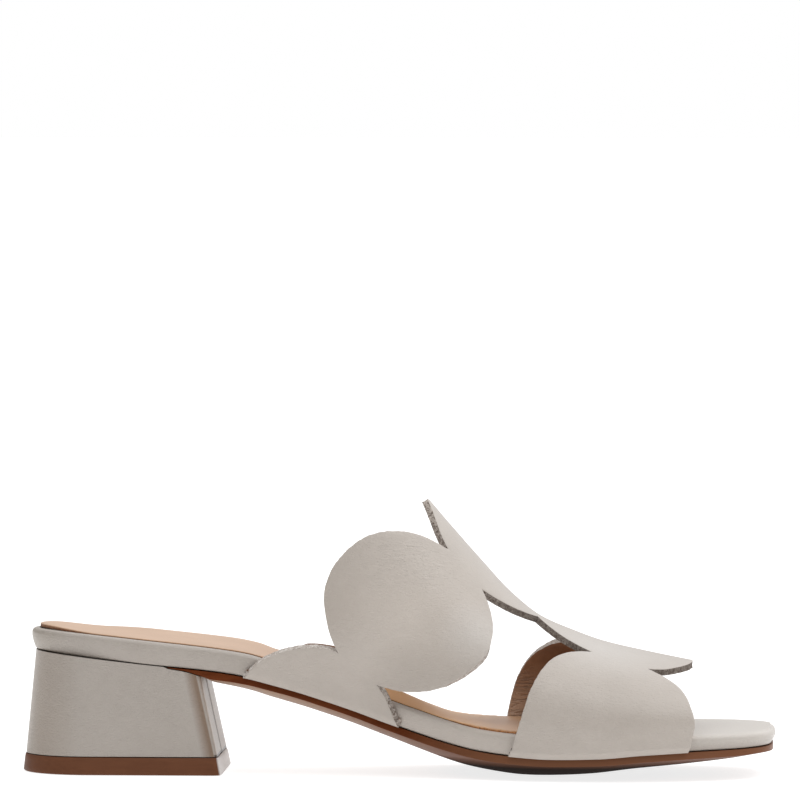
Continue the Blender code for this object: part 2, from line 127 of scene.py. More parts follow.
# Side discs are closed outlines; the outer ones sit a little behind the inner ones.
INNER_DISCS = {
    "side": ((99.4, 57.5), (101.6, 51), (111.4, 40.6), (124.4, 31), (137.4, 22.2), (145.4, 18),
             (152.4, 23.6), (155.5, 34.4), (152.2, 48), (138.2, 63.2), (122.5, 70.2), (106.5, 68.8)),
    "ball": ((161.3, 85), (162.6, 74), (164.8, 63.2), (169.8, 44.2), (176.7, 28.8), (188, 18.4),
             (196.5, 18.2), (209.4, 25.8), (217.5, 36.4), (221.6, 54), (221.8, 65), (216.2, 85)),
    "waist": ((70.4, 85), (74.4, 78.1), (80, 73.8), (89, 69.8), (99.5, 67), (110.5, 67), (117, 70.7),
              (119.9, 73.4), (122.3, 77.6), (125.2, 85)),
}
OUTER_DISCS = {
    "side": ((98.4, 62), (100.4, 55.4), (109.4, 46), (121.5, 38.6), (132.4, 31), (141, 21.6),
             (148.4, 25.4), (150.8, 37.2), (147.6, 51), (134.2, 66), (119.5, 73), (104.8, 71.8)),
    "ball": ((157.6, 85), (157, 68.5), (161, 52), (169.4, 35), (179, 22), (192, 18.6), (204, 29.6),
             (211.4, 47), (212.8, 66), (209.8, 85)),
    "waist": ((65, 85), (73.6, 79.2), (83, 73.9), (92.7, 70.4), (105.5, 70), (113.4, 76), (121, 85)),
}

# Heel block and the piece under it: height, back, half width, breast, corner radius, and how
# far the breast's inner end stands ahead of its outer end.
HEEL_ROWS = ((PIECE_HEIGHT + CLEARANCE, -1.8, 24.0, 63.4, 2.4, 0.3), (50.0, 2.5, 25.8, 53.9, 2.4, 0.7))
PIECE_ROWS = ((0.0, -2.6, 24.9, 64.9, 3.0, 0.3), (0.5, -2.7, 25.0, 65.1, 3.0, 0.3),
              (PIECE_HEIGHT, -2.1, 24.4, 64.0, 3.0, 0.3))

footbed_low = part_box("footbed")[0]
piece_low, piece_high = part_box("top_piece")
SHOE_ORIGIN = np.array((
    footbed_low.x - FIRST_STATION * MM,
    (piece_low.y + piece_high.y) / 2,
    piece_low.z,
))


# ------------------------------ the shoe's own form

def hermite(t, gap, start, end, start_slope, end_slope):
    """A cubic between two values with given slopes, at shares of the gap between them."""
    return ((2 * t**3 - 3 * t**2 + 1) * start + (t**3 - 2 * t**2 + t) * gap * start_slope
            + (3 * t**2 - 2 * t**3) * end + (t**3 - t**2) * gap * end_slope)


def track(table, column):
    """A smooth curve through one column of a table, with no overshoot between rows."""
    xs, ys = np.array(table["station"], float), np.array(table[column], float)
    steps = np.diff(xs)
    slopes = np.diff(ys) / steps
    tangents = np.concatenate((slopes[:1], np.zeros(len(xs) - 2), slopes[-1:]))
    for i in range(1, len(slopes)):
        before, after = slopes[i - 1], slopes[i]
        if before * after > 0:
            near, far = 2 * steps[i] + steps[i - 1], steps[i] + 2 * steps[i - 1]
            tangents[i] = (near + far) / (near / before + far / after)

    def value(x):
        x = np.clip(x, xs[0], xs[-1])
        i = np.clip(np.searchsorted(xs, x, "right") - 1, 0, len(steps) - 1)
        return hermite((x - xs[i]) / steps[i], steps[i], ys[i], ys[i + 1], tangents[i], tangents[i + 1])

    return value


inner_edge, outer_edge = track(OUTLINE, "inner"), track(OUTLINE, "outer")
seat_under, board_thickness, seat_twist = (track(SEAT, column) for column in ("under", "board", "twist"))
sole_edge, sole_crown = track(SOLE, "edge"), track(SOLE, "crown")
ridge_height, ridge_offset = track(LAST, "ridge"), track(LAST, "offset")
spring_height = track(LAST, "spring")
inner_reach, outer_reach = track(LAST, "inner"), track(LAST, "outer")


def ease(t):
    t = np.clip(t, 0.0, 1.0)
    return t * t * (3 - 2 * t)


def footbed_under(x, y):
    """Height of the footbed's underside; its outer edge runs a little ahead of its inner edge."""
    return seat_under(x + seat_twist(x) * (y - inner_edge(x)))


def share_across(x, y):
    """0 along the middle of the footbed's plan, 1 at its edges."""
    middle, half = (inner_edge(x) + outer_edge(x)) / 2, (outer_edge(x) - inner_edge(x)) / 2
    return np.clip(np.abs(y - middle) / np.maximum(half, 1.0), 0, 1)


def footbed_top(x, y):
    across = share_across(x, y)
    return footbed_under(x, y) + board_thickness(x) + TOE_DOME * ease((x - 212) / 24) * (1 - across**2)


def sole_under(x, y):
    """Height of the sole's underside: a shallow crown, flat where it meets the ground."""
    across = share_across(x, y)
    depth = sole_edge(x) + sole_crown(x) * (1 - across**2)
    return np.maximum(0.0, footbed_under(x, y) - CLEARANCE - depth)


def half_section(x, inner):
    """Base, reach, foot height and widest height of the upper's half section."""
    wall = CLEARANCE + LEATHER
    base = np.where(inner, inner_edge(x) - wall, outer_edge(x) + wall)
    reach = np.where(inner, inner_reach(x), outer_reach(x))
    foot = footbed_under(x, base) - UPPER_DROP
    return base, reach, foot, foot + UPPER_DROP + spring_height(x)


def last_face(x, laid):
    """Outer face of the upper from a station and the laid-out distance from the ridge."""
    inner = laid <= 0
    base, reach, foot, widest = half_section(x, inner)
    rise = 1 - np.abs(laid) / SPREAD
    share = rise / SECTION_KNEE
    angle = math.pi / 2 * (rise - SECTION_KNEE) / (1 - SECTION_KNEE)
    ridge = ridge_offset(x)
    low = share < 1
    side = np.where(low, base + (reach - base) * ease(share), ridge + (reach - ridge) * np.cos(angle))
    height = np.where(low, foot + (widest - foot) * share,
                      widest + (ridge_height(x) - widest) * np.sin(angle))
    turn = np.arccos(np.clip((height - foot) / TUCK_RADIUS, 0, 1))
    side = side - np.sign(base) * TUCK_RADIUS * (1 - np.sin(math.pi / 2 - turn)) * (turn > 0)
    return np.stack((x, side, height), -1)


def last_normal(x, laid):
    """Outward unit normals of the upper's outer face."""
    inside = SPREAD - NORMAL_STEP
    laid = np.clip(laid, -inside, inside)
    along = last_face(x + NORMAL_STEP, laid) - last_face(x - NORMAL_STEP, laid)
    over = last_face(x, laid + NORMAL_STEP) - last_face(x, laid - NORMAL_STEP)
    normal = np.cross(along, over)
    return normal / np.linalg.norm(normal, axis=-1, keepdims=True)


# ------------------------------ meshes

def to_frame(points):
    return np.asarray(points, float) * MM + SHOE_ORIGIN


class Solid:
    """Points in millimetres and faces, gathered sheet by sheet and made into one piece."""

    def __init__(self):
        self.points, self.faces, self.finishes = [], [], []

    def add(self, points):
        """Adds points and returns their numbers."""
        start = sum(len(block) for block in self.points)
        self.points.append(np.asarray(points, float))
        return np.arange(start, start + len(points))

    def lay(self, plan, height, lift=0.0):
        """Adds the points of a plan at the heights that a function gives."""
        return self.add(np.column_stack((plan, height(plan[:, 0], plan[:, 1]) + lift)))

    def fill(self, triangles, numbers, finish, flip=False):
        for triangle in triangles:
            corners = [int(numbers[i]) for i in triangle]
            self.faces.append(corners[::-1] if flip else corners)
            self.finishes.append(finish)

    def spread(self, loop, spacing, height, lift=0.0, finish=0, flip=False):
        """Fills an outline at the heights that a function gives, and returns its points' numbers."""
        points, triangles = sheet(loop, spacing)
        numbers = self.lay(points, height, lift)
        self.fill(triangles, numbers, finish, flip)
        return numbers

    def bridge(self, loops, finish):
        """Bands of quads between closed loops of equal length."""
        for first, second in zip(loops, loops[1:]):
            for i in range(len(first)):
                j = i - 1
                self.faces.append([int(first[j]), int(first[i]), int(second[i]), int(second[j])])
                self.finishes.append(finish)

    def cap(self, loop, spacing, flip=False, height=None):
        """Closes a loop with a sheet, level or at the heights that a function gives."""
        rim = np.concatenate(self.points)[loop]
        points, triangles = sheet(rim[:, :2], spacing)
        heights = height(points[:, 0], points[:, 1]) if height else np.full(len(points), rim[0, 2])
        numbers = np.concatenate((loop, self.add(np.column_stack((points, heights))[len(rim):])))
        self.fill(triangles, numbers, 0, flip)

    def make(self, name, node, finishes, sharp=40):
        """Turns the gathered faces into a piece that stands for a node of the model."""
        mesh = bpy.data.meshes.new(name)
        mesh.from_pydata(to_frame(np.concatenate(self.points)).tolist(), [], self.faces)
        mesh.polygons.foreach_set("material_index", self.finishes)
        for finish in finishes:
            mesh.materials.append(finish)
        bm = bmesh.new()
        bm.from_mesh(mesh)
        bmesh.ops.recalc_face_normals(bm, faces=bm.faces)
        bm.to_mesh(mesh)
        bm.free()
        mesh.shade_smooth()
        mesh.set_sharp_from_angle(angle=math.radians(sharp))
        piece = bpy.data.objects.new(name, mesh)
        bpy.context.scene.collection.objects.link(piece)
        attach(piece, BODY)
        if node:
            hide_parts(node)


def resample(loop, step):
    """A closed outline with points an even distance apart."""
    closed = np.vstack((loop, loop[:1]))
    lengths = np.concatenate(([0], np.cumsum(np.linalg.norm(np.diff(closed, axis=0), axis=1))))
    count = max(int(lengths[-1] / step), 8)
    marks = np.arange(count) * lengths[-1] / count
    return np.stack([np.interp(marks, lengths, closed[:, axis]) for axis in range(loop.shape[1])], -1)


def soften(loop, passes):
    """Rounds a closed outline a little by averaging neighbours."""
    for _ in range(passes):
        loop = (np.roll(loop, 1, axis=0) + 2 * loop + np.roll(loop, -1, axis=0)) / 4
    return loop


def outward(loop):
    """Outward unit normals of a closed outline that runs counter-clockwise."""
    tangent = np.roll(loop, -1, axis=0) - np.roll(loop, 1, axis=0)
    normal = np.stack((tangent[:, 1], -tangent[:, 0]), -1)
    return normal / np.linalg.norm(normal, axis=1, keepdims=True)


def counter_clockwise(loop):
    x, y = loop[:, 0], loop[:, 1]
    area = np.sum(x * np.roll(y, -1) - y * np.roll(x, -1))
    return loop if area > 0 else loop[::-1]


def distance_to(points, targets):
    """Distance from each point to the nearest target."""
    found = [np.sqrt(((block[:, None] - targets[None]) ** 2).sum(-1)).min(1)
             for block in np.array_split(points, max(1, len(points) // 1500))]
    return np.concatenate(found)


def lattice(low, high, spacing):
    """Points of a triangular lattice that covers a rectangle."""
    rows = np.arange(low[1], high[1], spacing * math.sqrt(3) / 2)
    columns = np.arange(low[0], high[0], spacing)
    return np.array([(x + spacing / 2 * (i % 2), y) for i, y in enumerate(rows) for x in columns])


def inside_loop(points, loop):
    """Which points lie inside a closed outline."""
    x, y = points[:, 0], points[:, 1]
    crossings = np.zeros(len(points), int)
    for (ax, ay), (bx, by) in zip(loop, np.roll(loop, -1, axis=0)):
        if ay != by:
            spans = (ay > y) != (by > y)
            crossings += spans & (x < (bx - ax) * (y - ay) / (by - ay) + ax)
    return crossings % 2 == 1


def fill_loop(loop, inner_points):
    """Triangles of the area inside a closed outline, through given inner points."""
    points = np.vstack((loop, inner_points)) if len(inner_points) else loop
    order = list(range(len(loop)))
    found = delaunay_2d_cdt([Vector(p) for p in points], [], [order], 1, 1e-6)
    return np.array([tuple(v) for v in found[0]]), found[2]


def sheet(loop, spacing):
    """Points and triangles that fill an outline about evenly."""
    grid = lattice(loop.min(0), loop.max(0), spacing)
    grid = grid[inside_loop(grid, loop)]
    grid = grid[distance_to(grid, loop) > spacing * 0.55]
    return fill_loop(loop, grid)


# ------------------------------ finishes

class Wire:
    """A socket that takes part in sums; each operator adds one Math node."""

    def __init__(self, nodes, socket):
        self.nodes, self.socket = nodes, socket

    def _math(self, operation, first, second):
        return self.nodes.add("ShaderNodeMath", {"operation": operation}, {0: first, 1: second})

    def __add__(self, other):
        return self._math("ADD", self, other)

    __radd__ = __add__

    def __sub__(self, other):
        return self._math("SUBTRACT", self, other)

    def __rsub__(self, other):
        return self._math("SUBTRACT", other, self)

    def __mul__(self, other):
        return self._math("MULTIPLY", self, other)

    __rmul__ = __mul__

    def __truediv__(self, other):
        return self._math("DIVIDE", self, other)

    def __abs__(self):
        return self._math("ABSOLUTE", self, 0.0)


class Nodes:
    """The nodes of one material or world."""

    def __init__(self, tree):
        self.tree = tree

    def add(self, kind, settings=None, inputs=None, output=0):
        """Adds a node with its settings, then links or sets its sockets."""
        node = self.tree.nodes.new(kind)
        for key, value in (settings or {}).items():
            setattr(node, key, value)
        for key, value in (inputs or {}).items():
            self.feed(node.inputs[key], value)
        return Wire(self, node.outputs[output])

    def feed(self, socket, value):
        if isinstance(value, Wire):
            self.tree.links.new(value.socket, socket)
        else:
            socket.default_value = value


# Sockets of a Mix node that mixes colours.
MIX_AMOUNT, MIX_FIRST, MIX_SECOND, MIX_RESULT = 0, 6, 7, 2


class Finish(Nodes):
    """One material, written as sums of its patterns."""

    def __init__(self, name):
        self.material = bpy.data.materials.new(name)
        self.material.use_nodes = True
        super().__init__(self.material.node_tree)
        self.shader = self.tree.nodes["Principled BSDF"]

    def where(self):
        return self.add("ShaderNodeTexCoord", output="Object")

    def place(self, stretch=(1, 1, 1), turn=(0, 0, 0)):
        """Position in the frame in millimetres, stretched and turned for a pattern."""
        scale = tuple(s / MM for s in stretch)
        rotation = tuple(math.radians(t) for t in turn)
        return self.add("ShaderNodeMapping", {"vector_type": "POINT"},
                        {"Vector": self.where(), "Scale": scale, "Rotation": rotation})

    def noise(self, size, detail=3.0, rough=0.55, stretch=(1, 1, 1), turn=(0, 0, 0)):
        """Cloudy pattern from 0 to 1 with features of about a size in millimetres."""
        return self.add("ShaderNodeTexNoise", {}, {
            "Vector": self.place(stretch, turn), "Scale": 1 / size, "Detail": detail, "Roughness": rough})

    def cells(self, size):
        """Pebbled pattern: distance within cells of about a size in millimetres."""
        return self.add("ShaderNodeTexVoronoi", {"feature": "F1"}, {
            "Vector": self.place(), "Scale": 1 / size, "Randomness": 1.0}, output="Distance")

    def ramp(self, value, low, high, start=0.0, end=1.0):
        """Maps one range of a value to another, clamped."""
        return self.add("ShaderNodeMapRange", {"clamp": True}, {
            "Value": value, "From Min": low, "From Max": high, "To Min": start, "To Max": end})

    def measure(self, axis):
        """Place on one axis of the shoe in millimetres."""
        part = self.add("ShaderNodeSeparateXYZ", {}, {0: self.where()}, output=axis)
        return (part - float(SHOE_ORIGIN[axis])) / MM

    def along(self, axis, low, high, start=0.0, end=1.0):
        """Ramp between two places on one axis of the shoe."""
        return self.ramp(self.measure(axis), low, high, start, end)

    def within(self, axis, low, high, fade):
        """1 between two places on one axis of the shoe, fading to 0 outside them."""
        place = self.measure(axis)
        return self.ramp(place, low - fade, low) * self.ramp(place, high + fade, high)

    def near(self, centre, radius):
        """1 at a point of the shoe, in millimetres, falling to 0 at a radius."""
        away = self.add("ShaderNodeVectorMath", {"operation": "DISTANCE"},
                        {0: self.where(), 1: tuple(to_frame(centre))}, output="Value")
        return self.ramp(away, 0.0, radius * MM, 1.0, 0.0)

    def blend(self, amount, first, second, mode="MIX"):
        """Mixes two colours; either may be a Wire."""
        first, second = (c if isinstance(c, Wire) else (*c, 1) for c in (first, second))
        return self.add("ShaderNodeMix", {"data_type": "RGBA", "blend_type": mode},
                        {MIX_AMOUNT: amount, MIX_FIRST: first, MIX_SECOND: second}, MIX_RESULT)

    def tint(self, amount, colour, by):
        """Darkens a colour by another where the amount is high."""
        return self.blend(amount, colour, by, mode="MULTIPLY")

    def bump(self, height, depth):
        """Normal from a height pattern; depth is in millimetres."""
        return self.add("ShaderNodeBump", {}, {"Height": height, "Distance": depth * MM, "Strength": 1.0})

    def set(self, **values):
        """Sets the shader's sockets, named with underscores for spaces."""
        for key, value in values.items():
            self.feed(self.shader.inputs[key.replace("_", " ")], value)
        return self.material


STATION, SIDE, HEIGHT = 0, 1, 2         # axes of the shoe

# Darkest and palest colour of each finish.
STONE = ((0.418, 0.370, 0.327), (0.445, 0.396, 0.352))
CUT_FIBRES = ((0.110, 0.082, 0.066), (0.52, 0.46, 0.41))
PALE_FIBRES = ((0.34, 0.28, 0.24), (0.72, 0.68, 0.64))
ROSY_FIBRES = ((0.30, 0.19, 0.14), (0.58, 0.44, 0.37))
DARK_FIBRES = (0.070, 0.052, 0.040)
LINING_BROWN = ((0.215, 0.104, 0.054), (0.300, 0.156, 0.088))
SOCK_TAN = ((0.500, 0.318, 0.200), (0.555, 0.362, 0.236))
SOCK_CUT = ((0.13, 0.055, 0.028), (0.36, 0.17, 0.085))
SOLE_BROWN = ((0.104, 0.032, 0.011), (0.150, 0.052, 0.021))
# Painted reflection on the sole's underside at the waist.
PAINTED_REFLECTION_BROWN = ((0.175, 0.085, 0.042), (0.40, 0.24, 0.15))
# Painted highlight on the top piece's front face.
PAINTED_GLARE = ((0.56, 0.53, 0.51), (0.82, 0.79, 0.78))


def toned(colours, tone):
    return [tuple(c * tone for c in colour) for colour in colours]


def neck_creases(f):
    """Depth in millimetres of the fine creases where the instep disc joins the side disc."""
    lines = f.noise(3.2, stretch=(0.32, 1, 1.5), turn=(0, 30, 0))
    finer = f.noise(1.5, detail=2.0, stretch=(0.45, 1, 1.3), turn=(0, 36, 0))
    where = f.within(STATION, 114, 142, 10) * f.within(HEIGHT, 66, 76, 7)
    return where * (f.ramp(abs(lines - 0.5), 0.0, 0.04) * 0.07 + f.ramp(abs(finer - 0.5), 0.0, 0.05) * 0.05)


def upper_shade(f, colour):
    """Painted light and shade on the discs: painted highlights make them paler over their fullest parts, and
    painted shade makes them deeper at the back of the side disc and in the hollow at the waist.
    """
    # Painted patches: the first three are painted highlights, the last two are painted shade.
    for centre, radius, amount, shade in (
            ((128, -34, 54), 27, 0.75, (0.56, 0.50, 0.445)),
            ((190, -14, 42), 26, 0.6, (0.535, 0.505, 0.475)),
            ((150, -33, 47), 14, 0.5, (0.58, 0.55, 0.52)),
            ((100, -33, 55), 15, 0.5, (0.385, 0.335, 0.290)),
            ((128, -31, 31), 17, 0.7, (0.325, 0.280, 0.240))):
        colour = f.blend(f.near(centre, radius) * amount, colour, shade)
    return colour


def wrap_shade(f, colour):
    """Painted light and shade on the wrapped board: a painted highlight makes it paler between the discs,
    painted shade darkens its back, and a painted highlight makes it palest on top of the toe.
    """
    # Painted highlight between the discs.
    colour = f.blend(f.within(STATION, 122, 165, 12) * 0.5, colour, (0.50, 0.445, 0.395))
    # Painted shade towards the back of the heel.
    colour = f.tint(f.along(STATION, 14, 2), colour, (0.89, 0.87, 0.82))
    # Painted highlight on top of the toe.
    toe_top = f.along(STATION, 200, 214) * f.along(HEIGHT, 11.0, 15.2)
    return f.blend(toe_top * 0.8, colour, (0.57, 0.53, 0.485))


def heel_shade(f, colour):
    """Painted shade on the heel's cover: it darkens as it turns to the breast and towards the back, and a
    painted shadow fills the gap above the top piece. The breast is warmer in tone, its outer half is darker
    lower down, and its seam runs down the breast.
    """
    (low, *_), (high, *_) = HEEL_ROWS
    low_breast, high_breast = (row[3] for row in HEEL_ROWS)
    slope = (high_breast - low_breast) / (high - low)
    ahead = f.measure(STATION) - slope * (f.measure(HEIGHT) - low) - low_breast
    # Painted shade where the cover turns to the breast.
    turned = f.ramp(ahead, -5.0, -1.6) * f.ramp(ahead, -0.5, -0.9)
    colour = f.tint(turned, colour, (0.50, 0.37, 0.27))
    colour = f.tint(f.ramp(ahead, -0.1, 0.3), colour, (1.0, 0.93, 0.87))
    beyond_seam = f.ramp(ahead, -0.4, 0.0) * f.along(SIDE, SEAM_SIDE, SEAM_SIDE + 3.0)
    colour = f.tint(beyond_seam * f.along(HEIGHT, 19.0, 9.0), colour, (0.82, 0.73, 0.70))
    # Painted shade towards the back.
    colour = f.tint(f.along(STATION, 18.0, 4.0), colour, (0.90, 0.85, 0.80))
    # Painted shadow in the gap above the top piece.
    painted_gap_shadow = f.ramp(ahead, -0.8, -0.4) * f.along(HEIGHT, PIECE_HEIGHT + 1.2, PIECE_HEIGHT + 0.7)
    colour = f.blend(painted_gap_shadow, colour, (0.05, 0.032, 0.024))
    seam = f.within(SIDE, SEAM_SIDE - 0.4, SEAM_SIDE + 0.4, 0.3) * f.ramp(ahead, -1.0, -0.5)
    return f.blend(seam, colour, (0.10, 0.065, 0.045))


def grain_leather(name, tone=1.0, creases=None, shade=None):
    """Smooth stone-grey leather with a fine grain."""
    f = Finish(name)
    clouds = f.noise(22.0)
    mottle = f.noise(2.4, detail=4.0)
    pores = f.cells(0.6)
    grain = f.noise(0.9, detail=4.0, rough=0.62, stretch=(0.62, 1, 1.4), turn=(0, 32, 0))
    colour = f.blend(f.ramp(clouds * 0.6 + mottle * 0.4, 0.38, 0.62), *toned(STONE, tone))
    if shade:
        colour = shade(f, colour)
    height = grain * 0.32 + f.ramp(pores, 0.0, 0.5) * 0.04
    if creases:
        height = height + creases(f)
    return f.set(Base_Color=colour, Roughness=0.40 + 0.12 * mottle, Specular_IOR_Level=0.5,
                 Normal=f.bump(height, 1.0), Coat_Weight=0.40, Coat_Roughness=0.30)


def raw_edge(name):
    """Cut leather edge with its fibres showing, pale round the waist and under the side disc."""
    f = Finish(name)
    fibres = f.noise(0.45, detail=5.0, rough=0.7)
    clumps = f.noise(1.1, detail=2.0)
    mix = f.ramp(fibres * 0.6 + clumps * 0.4, 0.41, 0.60)
    pale = f.blend(mix, *PALE_FIBRES)
    inner_waist = f.along(STATION, 124, 112) * f.along(SIDE, 0, -5)
    colour = f.blend(inner_waist, f.blend(mix, *CUT_FIBRES), pale)
    middle_discs = f.along(STATION, 146, 160) * f.along(HEIGHT, 28, 34)
    colour = f.blend(middle_discs * 0.6, colour, DARK_FIBRES)
    outer_ball = f.along(STATION, 146, 150) * f.along(SIDE, 8, 20)
    colour = f.blend(outer_ball * 0.8, colour, pale)
    under_side_disc = f.within(STATION, 136, 153, 3) * f.along(SIDE, -18, -26) * f.along(HEIGHT, 52, 47)
    colour = f.blend(under_side_disc * 0.9, colour, pale)
    outer_waist = f.along(STATION, 124, 118) * f.along(SIDE, 0, 5)
    colour = f.blend(outer_waist, colour, f.blend(mix, *ROSY_FIBRES))
    return f.set(Base_Color=colour, Roughness=0.85, Specular_IOR_Level=0.25,
                 Normal=f.bump(fibres, 0.22))


def lining_leather(name):
    """Brown lining leather with fine pores, wrinkled where it bends under the discs, with painted light that
    makes it paler lower down.
    """
    f = Finish(name)
    clouds = f.noise(9.0)
    pores = f.cells(0.7)
    fine = f.noise(0.5, detail=4.0)
    colour = f.blend(f.ramp(clouds * 0.7 + fine * 0.3, 0.35, 0.65), *LINING_BROWN)
    # Painted light: paler lower down, towards the footbed.
    colour = f.blend(f.along(HEIGHT, 34.0, 18.0, 0.0, 0.9), colour, (0.65, 0.44, 0.31))
    folds = f.ramp(abs(f.noise(2.8, detail=2.0, stretch=(0.4, 0.4, 2.0)) - 0.5), 0.0, 0.06)
    height = fine * 0.03 + f.ramp(pores, 0.0, 0.45) * 0.03 + folds * f.within(HEIGHT, 13, 28, 6) * 0.3
    return f.set(Base_Color=colour, Roughness=0.5, Specular_IOR_Level=0.4, Normal=f.bump(height, 1.0))


def sock_leather(name):
    """Pale tan sock leather, slightly satin, with painted shade that deepens it towards the front under the
    upper and painted warm light at the waist.
    """
    f = Finish(name)
    clouds = f.noise(18.0)
    fine = f.noise(0.6, detail=4.0, rough=0.6)
    pores = f.cells(0.8)
    colour = f.blend(f.ramp(clouds * 0.7 + fine * 0.3, 0.35, 0.65), *SOCK_TAN)
    # Painted shade where the upper covers the sock.
    colour = f.blend(f.along(STATION, 70.0, 125.0), colour, (0.51, 0.295, 0.158))
    # Painted warm light at the waist.
    colour = f.blend(f.within(STATION, 112.0, 140.0, 15.0), colour, (0.80, 0.48, 0.25))
    height = fine * 0.5 + f.ramp(pores, 0.0, 0.5) * 0.5
    return f.set(Base_Color=colour, Roughness=0.42, Specular_IOR_Level=0.5, Normal=f.bump(height, 0.03))


def sock_cut(name):
    """Cut edge of the sock, with brighter fibres towards the ball."""
    f = Finish(name)
    fibres = f.noise(0.4, detail=4.0, rough=0.7)
    colour = f.blend(f.ramp(fibres, 0.35, 0.65), *SOCK_CUT)
    colour = f.blend(f.along(STATION, 142, 150) * f.ramp(fibres, 0.4, 0.5), colour, (0.62, 0.27, 0.11))
    return f.set(Base_Color=colour, Roughness=0.8, Normal=f.bump(fibres, 0.15))


def satin_brown(name, tone=1.0, shine=0.35):
    """Start of a brown sole finish with faint drag marks: its colour and its other settings."""
    f = Finish(name)
    clouds = f.noise(14.0)
    drag = f.noise(1.1, stretch=(0.12, 1, 1))
    fine = f.noise(0.35)
    colour = f.blend(f.ramp(clouds * 0.5 + drag * 0.5, 0.36, 0.64), *toned(SOLE_BROWN, tone))
    return f, colour, dict(Roughness=shine + 0.12 * drag, Specular_IOR_Level=0.06,
                           Normal=f.bump(drag * 0.6 + fine * 0.4, 0.03))


def sole_edge_finish():
    """Side of the sole: painted shade makes it darkest under the waist, it is lighter round the toe, and
    painted shade darkens it near the ground.
    """
    f, colour, rest = satin_brown("brown_sole", tone=0.86)
    # Painted shade under the waist.
    colour = f.tint(f.along(STATION, 145, 125), colour, (0.92, 0.66, 0.45))
    colour = f.blend(f.along(STATION, 125, 165), colour, (0.165, 0.070, 0.036))
    # Painted shade near the ground.
    low = f.along(HEIGHT, 5.5, 1.5)
    rest["Roughness"] = rest["Roughness"] + 0.5 * low
    return f.set(Base_Color=f.blend(low, colour, (0.030, 0.015, 0.009)), **rest)


def sole_tread_finish():
    """Underside of the sole: a painted reflection makes it pale at the waist, and painted shade makes it dark
    under the ball, where it is also dull.
    """
    f, colour, rest = satin_brown("sole_tread")
    # Painted reflection that makes the waist pale, streaked along the sole.
    painted_reflection = f.blend(f.noise(2.2, detail=4.0, rough=0.6, stretch=(0.08, 1, 1)), *PAINTED_REFLECTION_BROWN)
    colour = f.blend(f.along(STATION, 142, 78), colour, painted_reflection)
    # Painted shade under the ball, near the ground.
    low = f.along(HEIGHT, 7.0, 3.5)
    rest["Roughness"] = rest["Roughness"] + 0.6 * low
    return f.set(Base_Color=f.blend(low, colour, (0.012, 0.006, 0.004)), **rest)


def top_piece_finish():
    """Brown top piece with a painted highlight that makes its front face pale."""
    f, colour, rest = satin_brown("top_piece_rubber", shine=0.38)
    colour = f.blend(0.5, colour, (0.14, 0.066, 0.040))
    ahead = f.measure(STATION) + 0.19 * f.measure(HEIGHT) - 64.6
    # Painted highlight on the front face.
    painted_glare = f.blend(f.noise(1.2, detail=4.0), *PAINTED_GLARE)
    return f.set(Base_Color=f.blend(f.ramp(ahead, -0.3, 0.3), colour, painted_glare), **rest)


# ------------------------------ upper

EDGE_STEP = 0.36          # spacing of points along the cut edge
FAIRING = 8.0             # evens out the curves of the discs, in square millimetres
LEATHER_MESH = 0.75       # spacing of points over the upper's outer face
LINING_MESH = 1.0         # over its inner face
HIDDEN_MESH = 3.0         # and over faces that lie against each other
FIRST_ROW = 0.3           # distance of the first row of points from the cut edge
# How far the knife leans under the cut edge, per mm of depth.
WAIST_SLANT = 0.16        # along the top of the inner waist disc
FRONT_SLANT = 0.36        # down its front
SIDE_SLANT = 0.15         # under the inner side disc
MIDDLE_SLANT = 0.32       # under the middle discs
EDGE_BEVEL = 0.12         # how far the rolled cut edge drops
EDGE_NOISE = 0.05         # unevenness of the knife cut


def closed_curve(nodes, step):
    """Smooth closed curve through nodes."""
    gaps = np.linalg.norm(np.roll(nodes, -1, axis=0) - nodes, axis=1)[:, None]
    before = np.roll(gaps, 1)
    tangents = (np.roll(nodes, -1, axis=0) - np.roll(nodes, 1, axis=0)) / (gaps + before)
    shares = np.arange(0, 1, 0.1)[:, None]
    points = []
    for i, gap in enumerate(gaps[:, 0]):
        j = (i + 1) % len(nodes)
        points.append(hermite(shares, gap, nodes[i], nodes[j], tangents[i], tangents[j]))
    return resample(np.vstack(points), step)


def disc_outlines(step):
    """Outlines of all discs, laid out flat; the inner side lies at negative distances."""
    outlines = []
    for nodes in MIDDLE_DISCS.values():
        half = np.array(nodes, float)
        outlines.append(closed_curve(np.vstack((half, (half * (1, -1))[-2:0:-1])), step))
    for hand, discs in ((-1, INNER_DISCS), (1, OUTER_DISCS)):
        outlines += [closed_curve(np.array(nodes, float) * (1, hand), step) for nodes in discs.values()]
    outlines = [soften(outline, int(FAIRING / step**2)) for outline in outlines]
    for outline in outlines:
        outline[:, 1] = np.clip(outline[:, 1], -SPREAD, SPREAD)
    return [resample(counter_clockwise(outline), step) for outline in outlines]


def joined_outline(outlines):
    """One outline round several that overlap."""
    points = [Vector(p) for outline in outlines for p in outline]
    starts = np.cumsum([0] + [len(outline) for outline in outlines])
    faces = [list(range(a, b)) for a, b in zip(starts, starts[1:])]
    found = delaunay_2d_cdt(points, [], faces, 1, 1e-6)
    uses = {}
    for face in found[2]:
        for a, b in zip(face, face[1:] + face[:1]):
            uses[(a, b)] = uses.get((a, b), 0) + 1
    following = {a: b for a, b in uses if (b, a) not in uses}
    loops = []
    while following:
        order = [next(iter(following))]
        while order[-1] in following:
            order.append(following.pop(order[-1]))
        loops.append(order[:-1])
    return counter_clockwise(np.array([tuple(found[0][i]) for i in max(loops, key=len)]))


def uneven(count, reach, seed):
    """Smooth random waviness round a closed edge."""
    waves = np.random.default_rng(seed).normal(size=count)
    for _ in range(reach):
        waves = (np.roll(waves, 1) + 2 * waves + np.roll(waves, -1)) / 4
    return waves / waves.std()


